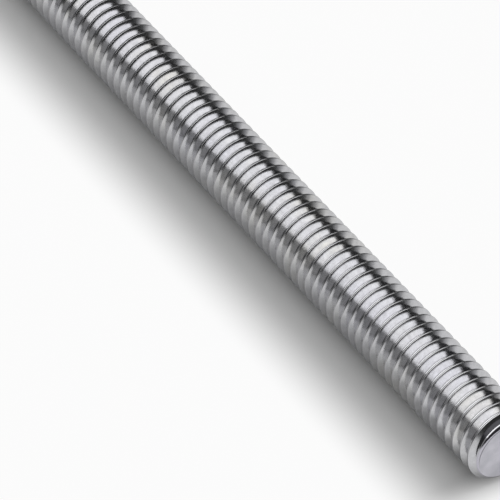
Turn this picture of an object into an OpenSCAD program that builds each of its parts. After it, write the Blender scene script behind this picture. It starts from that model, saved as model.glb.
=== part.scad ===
// Fully threaded steel rod, lying along X: a right-hand 60 degree thread cut off square and
// chamfered at both ends. The defaults are a 3/8 in - 16 rod, 4 1/2 in long.

/* [Rod] */
// Length from end to end
rod_length = 114.3; // [30:0.1:130]
// Chamfer at both ends, measured along the axis
end_chamfer = 0.65; // [0.3:0.05:1.5]

/* [Thread] */
// Major diameter, over the crests
major_d = 9.525; // [6:0.005:16]
// Distance along the rod from one turn to the next
pitch = 1.5875; // [1.4:0.0125:2.5]
// Width of the flat crest as a share of the pitch
crest_share = 0.125; // [0.06:0.005:0.2]
// Angle from the top, towards -Y, at which the crest runs out of the +X end
start_angle = 7; // [0:1:359]
// Facets that make up one turn of the flanks
facets = 20; // [14:1:22]

/* [Hidden] */

// each flank leans this far from square to the axis
flank_angle = 30;
// share of the sharp V's height that is left between root and crest
depth_share = 17 / 24;
round_fn = 96;

major_r = major_d / 2;
sharp_height = pitch / 2 / tan(flank_angle);
root_r = major_r - depth_share * sharp_height;
crest_w = crest_share * pitch;

// The ridge is modelled up to a sharp edge, and the round blank then cuts its flat crest.
edge_r = major_r + crest_w / 2 / tan(flank_angle);
half_ridge = (edge_r - root_r) * tan(flank_angle);

// A facet's corners stand outside the true helix as far as its middle lies inside it.
straddle = 2 / (1 + cos(180 / facets));

// One turn of the section, from ridge to ridge: [place along the axis, radius]
section = [
  [0, edge_r * straddle],
  [half_ridge, root_r * straddle],
  [pitch - half_ridge, root_r * straddle],
];
corners = len(section);

// The helix runs past both ends of the rod, because its own ends are ramps one pitch high.
spare_turns = 2;
turns = ceil(rod_length / pitch) + 2 * spare_turns;
steps = turns * facets;

// Corner j of the section, turned to step k
function corner(k, j) =
  let (turned = 360 * k / facets, along = pitch * k / facets + section[j][0])
  [section[j][1] * cos(turned), section[j][1] * sin(turned), along];

// Place of corner j of step k in the list of points; the corner after the last is the first
// corner of the next turn.
function place(k, j) = j < corners ? k * corners + j : (k + facets) * corners;

// The thread with its core, as one helical solid about Z whose ridge starts at angle 0
module helix() {
  top = steps + facets;
  foot = (top + 1) * corners;
  head = foot + 1;
  points = concat(
    [for (k = [0:top], j = [0:corners - 1]) corner(k, j)],
    [[0, 0, 0], [0, 0, pitch * top / facets]]
  );
  flanks = [for (k = [0:steps - 1], j = [0:corners - 1]) each [
    [place(k, j), place(k, j + 1), place(k + 1, j)],
    [place(k + 1, j), place(k, j + 1), place(k + 1, j + 1)],
  ]];
  foot_ramp = [for (k = [0:facets - 1]) [foot, place(k, 0), place(k + 1, 0)]];
  foot_step = [foot, place(facets, 0), for (j = [corners - 1:-1:0]) place(0, j)];
  head_ramp = [for (k = [steps:top - 1]) [head, place(k + 1, 0), place(k, 0)]];
  head_step = [head, for (j = [0:corners - 1]) place(steps, j), place(top, 0)];
  polyhedron(points, concat(flanks, foot_ramp, [foot_step], head_ramp, [head_step]));
}

// The round bar that the thread is cut into, with its chamfered ends
module blank() {
  rotate_extrude($fn = round_fn)
    polygon([
      [0, 0],
      [major_r - end_chamfer, 0],
      [major_r, end_chamfer],
      [major_r, rod_length - end_chamfer],
      [major_r - end_chamfer, rod_length],
      [0, rod_length],
    ]);
}

module rod() {
  ridge_turns = turns - spare_turns;
  color("silver")
    rotate([0, 90, 0])
      translate([0, 0, -rod_length / 2])
        intersection() {
          translate([0, 0, rod_length - ridge_turns * pitch])
            rotate([0, 0, 180 + start_angle])
              helix();
          blank();
        }
}

rod();
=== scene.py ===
import math
import bmesh
import bpy
from mathutils import Matrix, Vector


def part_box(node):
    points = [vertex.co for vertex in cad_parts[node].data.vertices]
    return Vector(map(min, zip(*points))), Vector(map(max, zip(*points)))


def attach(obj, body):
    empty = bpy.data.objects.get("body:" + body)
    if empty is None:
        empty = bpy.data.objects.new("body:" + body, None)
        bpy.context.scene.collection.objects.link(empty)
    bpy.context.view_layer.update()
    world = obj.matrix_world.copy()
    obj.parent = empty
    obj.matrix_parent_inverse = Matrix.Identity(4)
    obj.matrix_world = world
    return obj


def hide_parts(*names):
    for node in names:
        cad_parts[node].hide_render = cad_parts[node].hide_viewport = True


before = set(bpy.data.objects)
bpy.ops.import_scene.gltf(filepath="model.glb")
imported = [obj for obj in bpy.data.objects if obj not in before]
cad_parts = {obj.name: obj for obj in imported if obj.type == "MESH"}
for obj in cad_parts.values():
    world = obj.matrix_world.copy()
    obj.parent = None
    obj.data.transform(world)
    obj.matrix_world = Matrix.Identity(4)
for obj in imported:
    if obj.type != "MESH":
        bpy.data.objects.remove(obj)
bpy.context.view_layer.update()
mm = 0.001


class Socket:  # an output socket that can stand in a Python expression
    def __init__(self, shader, output):
        self.shader = shader
        self.output = output

    def math(self, operation, *values):
        sockets = dict(enumerate(values))
        return self.shader.node("ShaderNodeMath", {"operation": operation}, sockets)

    def __add__(self, other):
        return self.math("ADD", self, other)

    def __radd__(self, other):
        return self.math("ADD", other, self)

    def __sub__(self, other):
        return self.math("SUBTRACT", self, other)

    def __rsub__(self, other):
        return self.math("SUBTRACT", other, self)

    def __mul__(self, other):
        return self.math("MULTIPLY", self, other)

    def __rmul__(self, other):
        return self.math("MULTIPLY", other, self)


class Shader:  # one material's or the world's nodes
    def __init__(self, owner):
        owner.use_nodes = True
        self.tree = owner.node_tree
        self.tree.nodes.clear()

    def node(self, kind, settings=None, sockets=None, output=0):
        made = self.tree.nodes.new(kind)
        for name, value in (settings or {}).items():
            setattr(made, name, value)
        for name, value in (sockets or {}).items():
            if isinstance(value, Socket):
                self.tree.links.new(value.output, made.inputs[name])
            else:
                made.inputs[name].default_value = value
        return Socket(self, made.outputs[output]) if made.outputs else None

    def parts(self, vector):  # the three numbers of a vector
        split = self.node("ShaderNodeSeparateXYZ", sockets={0: vector}).output.node
        return [Socket(self, split.outputs[axis]) for axis in range(3)]

    def noise(self, vector, scale, detail=2.0, roughness=0.5):
        return self.node("ShaderNodeTexNoise", None,
                         {"Vector": vector, "Scale": scale, "Detail": detail, "Roughness": roughness})

    def ramp(self, factor, low, high, form="LINEAR"):  # 0 below low, 1 above high
        return self.node("ShaderNodeMapRange", {"clamp": True, "interpolation_type": form},
                         {"Value": factor, "From Min": low, "From Max": high})

    def softRamp(self, factor, low, high):
        return self.ramp(factor, low, high, "SMOOTHSTEP")

    def blend(self, factor, first, second):  # between two colours
        mix = self.node("ShaderNodeMix", {"data_type": "RGBA"}, {"Factor": factor}).output.node
        for place, colour in ((6, first), (7, second)):  # the node's two colour inputs
            if isinstance(colour, Socket):
                self.tree.links.new(colour.output, mix.inputs[place])
            else:
                mix.inputs[place].default_value = (*colour, 1)
        return Socket(self, mix.outputs[2])              # its colour output


# the rod: its thread is one groove's profile, spun through one turn and repeated along X

rod = {
    "pitch": 1.5875 * mm,
    "crestShare": 0.125,          # flat on the crest, as a share of the pitch
    "depthShare": 0.6134,         # depth of the groove, likewise
    "rootShare": 0.1443,          # radius in the bottom of the groove, likewise
    "rootSteps": 3,
    "crestEdge": 0.012 * mm,      # rounding of the crest's two edges
    "holdWidth": 0.03 * mm,
    "runOut": 7,                  # degrees past the top at which the crest leaves the front end
    "chamfer": 0.65 * mm,
    "endEdge": 0.15 * mm,         # rounding between the chamfer and the end
    "blankOver": 0.02 * mm,       # how far the bar that cuts the ends stands outside the crests
    "blankSteps": 128,
    "stepsPerTurn": 64,
    "spareTurns": 2,              # at each end, past the cut
    "sharpAngle": 25,             # degrees between two faces, past which their edge is sharp
    "endBand": 0.002 * mm,        # faces this near the end are its flat
}

# points closer than this are merged: in the groove's profile, between turns, in the bar, after the cut
weld = {"profile": 0.0001 * mm, "turns": 0.002 * mm, "blank": 0.001 * mm, "cut": 0.0005 * mm}


def grooveProfile(mesh, sizes, startX, crestRadius):
    # from the middle of one root over the crest to the middle of the next
    pitch = sizes["pitch"]
    rootRadius = sizes["rootShare"] * pitch
    rootZ = crestRadius - sizes["depthShare"] * pitch
    crestX = startX + pitch / 2
    bottom = mesh.verts.new((startX, 0, rootZ))
    arc = bmesh.ops.spin(mesh, geom=[bottom], cent=(startX, 0, rootZ + rootRadius), axis=(0, 1, 0),
                         angle=-math.radians(60), steps=sizes["rootSteps"])
    flankFoot = [item for item in arc["geom_last"] if isinstance(item, bmesh.types.BMVert)][0]
    crestCorner = mesh.verts.new((crestX - sizes["crestShare"] * pitch / 2, 0, crestRadius))
    crestMiddle = mesh.verts.new((crestX, 0, crestRadius))
    # a holding point at each end of the flank keeps the flank's shading flat
    uphill = (crestCorner.co - flankFoot.co).normalized() * sizes["holdWidth"]
    lowHold = mesh.verts.new(flankFoot.co + uphill)
    highHold = mesh.verts.new(crestCorner.co - uphill)
    chain = [flankFoot, lowHold, highHold, crestCorner, crestMiddle]
    for first, second in zip(chain, chain[1:]):
        mesh.edges.new((first, second))
    bmesh.ops.bevel(mesh, geom=[crestCorner], offset=sizes["crestEdge"], offset_type="OFFSET",
                    affect="VERTICES", segments=2, profile=0.5, material=-1)
    bmesh.ops.mirror(mesh, geom=mesh.verts[:] + mesh.edges[:], axis="X",
                     matrix=Matrix.Translation((-crestX, 0, 0)))
    bmesh.ops.remove_doubles(mesh, verts=mesh.verts[:], dist=weld["profile"])


def closeEnd(mesh, rim, apex):
    # the helix's last turn runs into a ramp that meets on the axis
    made = bmesh.ops.extrude_edge_only(mesh, edges=rim)["geom"]
    tips = [item for item in made if isinstance(item, bmesh.types.BMVert)]
    bmesh.ops.pointmerge(mesh, verts=tips, merge_co=apex)


def threadSolid(sizes, halfLength, crestRadius):
    pitch = sizes["pitch"]
    turns = math.ceil(2 * halfLength / pitch) + 2 * sizes["spareTurns"]
    crestAtTop = halfLength - pitch * sizes["runOut"] / 360
    startX = crestAtTop - (turns - sizes["spareTurns"] + 0.5) * pitch
    mesh = bmesh.new()
    grooveProfile(mesh, sizes, startX, crestRadius)
    steps = sizes["stepsPerTurn"]
    bmesh.ops.spin(mesh, geom=mesh.verts[:] + mesh.edges[:], cent=(0, 0, 0), axis=(1, 0, 0),
                   dvec=(pitch / steps, 0, 0), angle=math.radians(360), steps=steps)
    oneTurn = mesh.verts[:] + mesh.edges[:] + mesh.faces[:]
    for turn in range(1, turns):
        copy = bmesh.ops.duplicate(mesh, geom=oneTurn)["geom"]
        points = [item for item in copy if isinstance(item, bmesh.types.BMVert)]
        bmesh.ops.translate(mesh, verts=points, vec=(pitch * turn, 0, 0))
    bmesh.ops.remove_doubles(mesh, verts=mesh.verts[:], dist=weld["turns"])
    rims = [edge for edge in mesh.edges if edge.is_boundary]
    backRim = [edge for edge in rims if edge.verts[0].co.x < 0]
    frontRim = [edge for edge in rims if edge.verts[0].co.x > 0]
    closeEnd(mesh, backRim, (startX, 0, 0))
    closeEnd(mesh, frontRim, (startX + (turns + 1) * pitch, 0, 0))
    bmesh.ops.recalc_face_normals(mesh, faces=mesh.faces[:])
    return mesh


def endBlank(sizes, halfLength, crestRadius):
    # a chamfered bar a little over the crests, which cuts the thread off at both ends
    over = sizes["blankOver"]
    chamfer = sizes["chamfer"] + over
    mesh = bmesh.new()
    centre = mesh.verts.new((halfLength, 0, 0))
    lip = mesh.verts.new((halfLength, 0, crestRadius - sizes["chamfer"]))
    shoulder = mesh.verts.new((halfLength - chamfer, 0, crestRadius + over))
    middle = mesh.verts.new((0, 0, crestRadius + over))
    mesh.edges.new((centre, lip))
    mesh.edges.new((lip, shoulder))
    mesh.edges.new((shoulder, middle))
    bmesh.ops.bevel(mesh, geom=[lip], offset=sizes["endEdge"], offset_type="OFFSET",
                    affect="VERTICES", segments=3, profile=0.5, material=-1)
    bmesh.ops.mirror(mesh, geom=mesh.verts[:] + mesh.edges[:], axis="X")
    bmesh.ops.remove_doubles(mesh, verts=mesh.verts[:], dist=weld["blank"])
    bmesh.ops.spin(mesh, geom=mesh.verts[:] + mesh.edges[:], cent=(0, 0, 0), axis=(1, 0, 0),
                   angle=math.radians(360), steps=sizes["blankSteps"], use_merge=True)
    bmesh.ops.remove_doubles(mesh, verts=mesh.verts[:], dist=weld["blank"])
    bmesh.ops.recalc_face_normals(mesh, faces=mesh.faces[:])
    return mesh


def newObject(name, mesh):
    data = bpy.data.meshes.new(name)
    mesh.to_mesh(data)
    mesh.free()
    thing = bpy.data.objects.new(name, data)
    bpy.context.scene.collection.objects.link(thing)
    return thing


def applyModifiers(thing):
    shaped = thing.evaluated_get(bpy.context.evaluated_depsgraph_get())
    data = bpy.data.meshes.new_from_object(shaped)
    old = thing.data
    thing.modifiers.clear()
    thing.data = data
    bpy.data.meshes.remove(old)


def makeRod(sizes):
    low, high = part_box("rod")
    halfLength = (high[0] - low[0]) / 2
    crestRadius = min(high[1] - low[1], high[2] - low[2]) / 2
    piece = newObject("threadedRod", threadSolid(sizes, halfLength, crestRadius))
    print("thread spun:", len(piece.data.polygons), "faces")
    blank = newObject("endBlank", endBlank(sizes, halfLength, crestRadius))
    cut = piece.modifiers.new("ends", "BOOLEAN")
    cut.operation = "INTERSECT"
    cut.solver = "MANIFOLD"
    cut.object = blank
    applyModifiers(piece)
    bpy.data.objects.remove(blank)
    piece.data.materials.clear()
    piece.data.materials.append(threadSteel(sizes, crestRadius, halfLength))
    piece.data.materials.append(sawnSteel(crestRadius - sizes["chamfer"] - sizes["endEdge"]))
    mesh = bmesh.new()
    mesh.from_mesh(piece.data)
    bmesh.ops.remove_doubles(mesh, verts=mesh.verts[:], dist=weld["cut"])
    for face in mesh.faces:
        face.smooth = True
        onEnd = all(abs(point.co.x) > halfLength - sizes["endBand"] for point in face.verts)
        face.material_index = 1 if onEnd else 0
    mesh.to_mesh(piece.data)
    mesh.free()
    piece.data.set_sharp_from_angle(angle=math.radians(sizes["sharpAngle"]))
    print("rod cut:", len(piece.data.polygons), "faces,", len(piece.data.loop_triangles), "triangles")
    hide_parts("rod")
    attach(piece, "root")


# bright rolled steel: fine marks that follow the helix, a faint mottle, greyer crests, and painted shade
# in the roots

threadFinish = {
    "colour": (0.56, 0.56, 0.57),
    "coolColour": (0.55, 0.55, 0.57),
    "warmColour": (0.57, 0.565, 0.55),
    "tintScale": 160,
    "coolRange": (0.35, 0.55),
    "warmRange": (0.55, 0.75),
    "mottleColour": (0.38, 0.38, 0.39),
    "mottleShare": 0.40,
    "mottleScale": 1300,
    "mottleRange": (0.35, 0.7),
    "crestColour": (0.35, 0.35, 0.36),
    "crestFade": (0.02 * mm, 0.005 * mm),        # depth below the crest
    # painted shade: the bottom of the groove is darkened
    "rootShadeColour": (0.34, 0.34, 0.355),
    "rootShadeBlend": 0.7,
    "rootShadeFade": (0.02 * mm, 0.20 * mm),          # height above the root
    # painted shade: the inner side of the last ridge at each cut end is darkened
    "endShadeColour": (0.06, 0.06, 0.065),           # inner side of the last ridge at each cut end
    "endShadeFade": (0.90 * mm, 0.72 * mm),          # distance from the end
    "inwardRange": (-0.6, -0.3),                 # how far a face looks towards the end
    "chamferColour": (0.47, 0.46, 0.51),
    "chamferShare": 0.9,                         # share of the chamfer's length with its full colour
    "outwardRange": (0.4, 0.6),
    "roughness": 0.17,
    "crestRoughness": 0.30,
    "markScale": 500,
    "markSqueeze": 40,
    "markRoughness": 0.14,
    "markBump": 0.20,
    "markDepth": 0.01 * mm,
}


def fromAxis(y, z):  # distance from the rod's axis
    squares = y * y + z * z
    return squares.math("SQRT", squares)


def metalSurface(shader, finish, colour, roughness, marks):
    bump = shader.node("ShaderNodeBump", None,
                       {"Strength": finish["markBump"], "Distance": finish["markDepth"], "Height": marks})
    surface = shader.node("ShaderNodeBsdfPrincipled", None,
                          {"Base Color": colour, "Metallic": 1.0, "Roughness": roughness, "Normal": bump})
    shader.node("ShaderNodeOutputMaterial", None, {"Surface": surface})


def threadSteel(sizes, crestRadius, halfLength):
    finish = threadFinish
    material = bpy.data.materials.new("rolledSteel")
    shader = Shader(material)
    place = shader.node("ShaderNodeTexCoord", output="Object")
    x, y, z = shader.parts(place)
    radius = fromAxis(y, z)
    rootRadius = crestRadius - sizes["depthShare"] * sizes["pitch"]
    crest = shader.ramp(radius, *[crestRadius - depth for depth in finish["crestFade"]])
    # painted shade in the groove: darker towards its bottom
    root = 1 - shader.ramp(radius, *[rootRadius + height for height in finish["rootShadeFade"]])

    # the marks run along the turns: their pattern is squeezed across the flanks and the crests
    across = radius + crest * x
    markPlace = shader.node("ShaderNodeCombineXYZ", None, {0: across * finish["markSqueeze"], 1: y, 2: z})
    marks = shader.noise(markPlace, finish["markScale"], 3, 0.6)

    tint = shader.noise(place, finish["tintScale"])
    mottle = shader.ramp(shader.noise(place, finish["mottleScale"], 3, 0.6), *finish["mottleRange"])
    colour = shader.blend(shader.ramp(tint, *finish["coolRange"]), finish["coolColour"], finish["colour"])
    colour = shader.blend(shader.ramp(tint, *finish["warmRange"]), colour, finish["warmColour"])
    colour = shader.blend(mottle * finish["mottleShare"], colour, finish["mottleColour"])
    colour = shader.blend(crest, colour, finish["crestColour"])
    colour = shader.blend(root * finish["rootShadeBlend"], colour, finish["rootShadeColour"])

    # near the ends: faces that look inwards get painted shade, and the chamfers are cut metal
    fromMiddle = x.math("ABSOLUTE", x)
    facing = shader.parts(shader.node("ShaderNodeTexCoord", output="Normal"))[0] * x.math("SIGN", x)
    endShade = shader.ramp(fromMiddle, *[halfLength - distance for distance in finish["endShadeFade"]])
    endShade = endShade * (1 - shader.ramp(facing, *finish["inwardRange"]))
    colour = shader.blend(endShade, colour, finish["endShadeColour"])
    full = finish["chamferShare"] * sizes["chamfer"]
    cut = shader.ramp(fromMiddle, halfLength - sizes["chamfer"], halfLength - full)
    cut = cut * shader.ramp(facing, *finish["outwardRange"])
    colour = shader.blend(cut, colour, finish["chamferColour"])

    roughness = finish["roughness"] + (marks - 0.5) * finish["markRoughness"]
    roughness = roughness + crest * (finish["crestRoughness"] - finish["roughness"])
    metalSurface(shader, finish, colour, roughness, marks)
    return material


# the cut ends: sawn, then lightly ground, with straight fine marks and painted shade along the upper part
# of the face's rim

sawnFinish = {
    "colour": (0.60, 0.59, 0.64),
    "cloudColour": (0.48, 0.48, 0.52),
    "cloudScale": 500,
    "cloudRange": (0.35, 0.7),
    # painted shade along the upper part of the end face's rim
    "rimShadeColour": (0.10, 0.10, 0.11),
    "rimShadeFade": (0.15 * mm, 0.05 * mm),          # distance from the face's edge
    "rimShadeRise": (-0.3, 0.4),                     # heights between which it sets in, in face radii
    "roughness": 0.42,
    "markScale": 300,
    "markSqueeze": 30,
    "markTurn": 25,
    "markRoughness": 0.2,
    "markBump": 0.25,
    "markDepth": 0.01 * mm,
}


def sawnSteel(endRadius):
    finish = sawnFinish
    material = bpy.data.materials.new("sawnSteel")
    shader = Shader(material)
    place = shader.node("ShaderNodeTexCoord", output="Object")
    y, z = shader.parts(place)[1:]
    squeeze = finish["markSqueeze"]
    markPlace = shader.node("ShaderNodeMapping", None,
                            {"Vector": place, "Rotation": (math.radians(finish["markTurn"]), 0, 0),
                             "Scale": (squeeze, 1, squeeze)})
    marks = shader.noise(markPlace, finish["markScale"], 4, 0.6)
    cloud = shader.ramp(shader.noise(place, finish["cloudScale"], 3), *finish["cloudRange"])
    # painted shade: a dark band along the upper part of the end face's rim
    rimShade = shader.ramp(fromAxis(y, z), *[endRadius - distance for distance in finish["rimShadeFade"]])
    rimShade = rimShade * shader.softRamp(z, *[share * endRadius for share in finish["rimShadeRise"]])
    colour = shader.blend(cloud, finish["colour"], finish["cloudColour"])
    colour = shader.blend(rimShade, colour, finish["rimShadeColour"])
    roughness = finish["roughness"] + (marks - 0.5) * finish["markRoughness"]
    metalSurface(shader, finish, colour, roughness, marks)
    return material


makeRod(rod)
print("rod finished")


# a pale floor, one large soft light above, a weak one at the side, and the camera

studio = {
    "floorSize": 6.0,
    "floorColour": (0.425, 0.425, 0.425),
    "outerColour": (0.39, 0.39, 0.40),           # the floor further away
    "lightPoolSide": (80 * mm, 240 * mm),             # painted pool of light: the floor is white round the rod and fades between these into its darker outer colour
    "lightPoolFront": (75 * mm, 260 * mm),
    "lightPoolBack": (48 * mm, 63 * mm),
    "shadeSide": (54 * mm, 61 * mm),             # under and beside the rod the white is left out, so the floor shows a painted shadow in its darker colour together with its real shadow
    "shadeFront": (-15 * mm, -6 * mm),
    "shadeBack": (2 * mm, 7 * mm),
    "backdropShare": 0.94,
    "softboxPower": 5.2,
    "softboxHeight": 0.5,
    "softboxSize": (0.525, 1.15),
    "softboxX": -0.0625,
    "sidePower": 0.7,
    "sideSize": (0.6, 0.7),
    "sidePlace": (-0.1, -0.9, 0.35),
    "worldGrey": 0.04,
    "cameraPlace": (0.39586, -0.25208, 0.42167),
    "cameraTurn": (47.2234, 0, 57.4298),
    "cameraLens": 365.703,
    "cameraReach": (0.05, 20),
}


def makeFloor(look):
    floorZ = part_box("rod")[0][2]
    mesh = bmesh.new()
    bmesh.ops.create_grid(mesh, x_segments=1, y_segments=1, size=look["floorSize"] / 2)
    bmesh.ops.translate(mesh, verts=mesh.verts[:], vec=(0, 0, floorZ))
    floor = newObject("studioFloor", mesh)
    material = bpy.data.materials.new("paleFloor")
    shader = Shader(material)
    x, y = shader.parts(shader.node("ShaderNodeTexCoord", output="Object"))[:2]
    along = x.math("ABSOLUTE", x)
    # painted pool of light: white round the rod, falling off to the darker floor beyond
    lightPool = (1 - shader.softRamp(along, *look["lightPoolSide"])) * (1 - shader.softRamp(y, *look["lightPoolBack"]))
    lightPool = lightPool * (1 - shader.softRamp(-1 * y, *look["lightPoolFront"]))
    # painted shadow: under and beside the rod the floor loses its white and shows its darker colour with
    # its real shadow
    shade = shader.softRamp(y, *look["shadeFront"]) * (1 - shader.softRamp(y, *look["shadeBack"]))
    shade = shade * (1 - shader.softRamp(along, *look["shadeSide"]))
    colour = shader.blend(lightPool, look["outerColour"], look["floorColour"])
    matt = shader.node("ShaderNodeBsdfDiffuse", None, {"Color": colour})
    white = shader.node("ShaderNodeEmission", None, {"Color": (1, 1, 1, 1), "Strength": 1.0})
    seen = shader.node("ShaderNodeLightPath", output="Is Camera Ray")
    seen = seen + shader.node("ShaderNodeLightPath", output="Is Glossy Ray")
    seen = seen + shader.node("ShaderNodeLightPath", output="Is Transmission Ray")
    surface = shader.node("ShaderNodeMixShader", None,
                          {0: seen * lightPool * (1 - shade) * look["backdropShare"], 1: matt, 2: white})
    shader.node("ShaderNodeOutputMaterial", None, {"Surface": surface})
    floor.data.materials.append(material)


def makeLight(name, power, size, place, turn):
    data = bpy.data.lights.new(name, "AREA")
    data.shape = "RECTANGLE"
    data.size, data.size_y = size
    data.energy = power
    light = bpy.data.objects.new(name, data)
    light.location = place
    light.rotation_euler = turn
    light.visible_camera = False
    bpy.context.scene.collection.objects.link(light)


def makeStudio(look):
    makeFloor(look)
    makeLight("softbox", look["softboxPower"], look["softboxSize"],
              (look["softboxX"], 0, look["softboxHeight"]), (0, 0, 0))
    sidePlace = Vector(look["sidePlace"])
    sideTurn = (-sidePlace).to_track_quat("-Z", "Y").to_euler()      # towards the rod
    makeLight("sideLight", look["sidePower"], look["sideSize"], sidePlace, sideTurn)
    world = bpy.data.worlds.new("studioWorld")
    bpy.context.scene.world = world
    shader = Shader(world)
    grey = look["worldGrey"]
    dim = shader.node("ShaderNodeBackground", None, {"Color": (grey, grey, grey, 1), "Strength": 1.0})
    shader.node("ShaderNodeOutputWorld", None, {"Surface": dim})
    camera = bpy.data.cameras.new("camera")
    camera.sensor_width = 36
    camera.lens = look["cameraLens"]
    camera.clip_start, camera.clip_end = look["cameraReach"]
    view = bpy.data.objects.new("camera", camera)
    view.location = look["cameraPlace"]
    view.rotation_euler = [math.radians(angle) for angle in look["cameraTurn"]]
    bpy.context.scene.collection.objects.link(view)
    bpy.context.scene.camera = view
    bpy.context.scene.view_settings.view_transform = "Standard"


makeStudio(studio)
print("studio set up")
